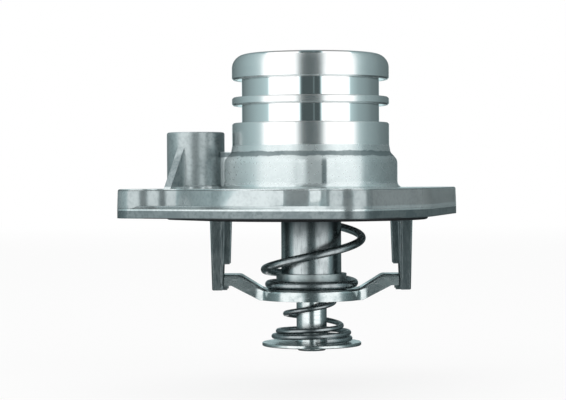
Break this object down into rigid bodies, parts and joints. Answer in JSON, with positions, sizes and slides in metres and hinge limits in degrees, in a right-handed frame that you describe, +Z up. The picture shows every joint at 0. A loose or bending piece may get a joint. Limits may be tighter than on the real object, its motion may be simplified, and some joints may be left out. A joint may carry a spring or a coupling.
{
  "type": "engine thermostat",
  "caption": "Wax-element engine thermostat built into a cast aluminium cover with a grooved hose neck, bolt ears, a bracket boss, legs with a spring bridge and a sprung bypass disc.",
  "frame": {"origin": "on the axis of the hose neck, in the plane of the flange's mounting face", "axes": "+Z up the hose neck, away from the engine; +X towards the right-hand leg, in the plane of both legs; +Y away from the side shown in the picture"},
  "size_m": [0.0813, 0.0763, 0.0694],
  "materials": {
    "cast_aluminium": "die-cast and partly machined, satin",
    "gasket_rubber": "moulded, matte black",
    "stamped_steel": "bright stamped stainless sheet",
    "spring_steel": "dark drawn wire",
    "seal_rubber": "moulded, matte black",
    "plated_brass": "tin-plated, bright",
    "plain_brass": "turned",
    "washer_plastic": "turned, off-white",
    "wax": "solid wax with copper powder",
    "ground_steel": "ground and polished"
  },
  "bodies": {
    "cover": {"housing": "cast_aluminium", "flange_gasket": "gasket_rubber", "bridge": "stamped_steel", "main_spring": "spring_steel", "piston": "ground_steel"},
    "main_valve": {"valve_plate": "stamped_steel", "valve_seal": "seal_rubber", "element_cup": "plated_brass", "element_guide": "plain_brass", "rubber_sleeve": "seal_rubber", "seal_washer": "washer_plastic", "wax_charge": "wax", "bypass_stem": "ground_steel", "bypass_spring": "spring_steel", "snap_ring": "spring_steel"},
    "bypass_valve": {"bypass_disc": "stamped_steel"}
  },
  "joints": [
    {"name": "main_valve_lift", "type": "slide", "parent": "cover", "child": "main_valve", "axis": [0, 0, -1], "range_m": [0, 0.008], "stiffness_N_per_m": 3000, "springref_m": -0.02, "deforming": ["main_spring"]},
    {"name": "bypass_lift", "type": "slide", "parent": "main_valve", "child": "bypass_valve", "axis": [0, 0, 1], "range_m": [0, 0.0045], "stiffness_N_per_m": 500, "springref_m": -0.006, "deforming": ["bypass_spring"]}
  ]
}
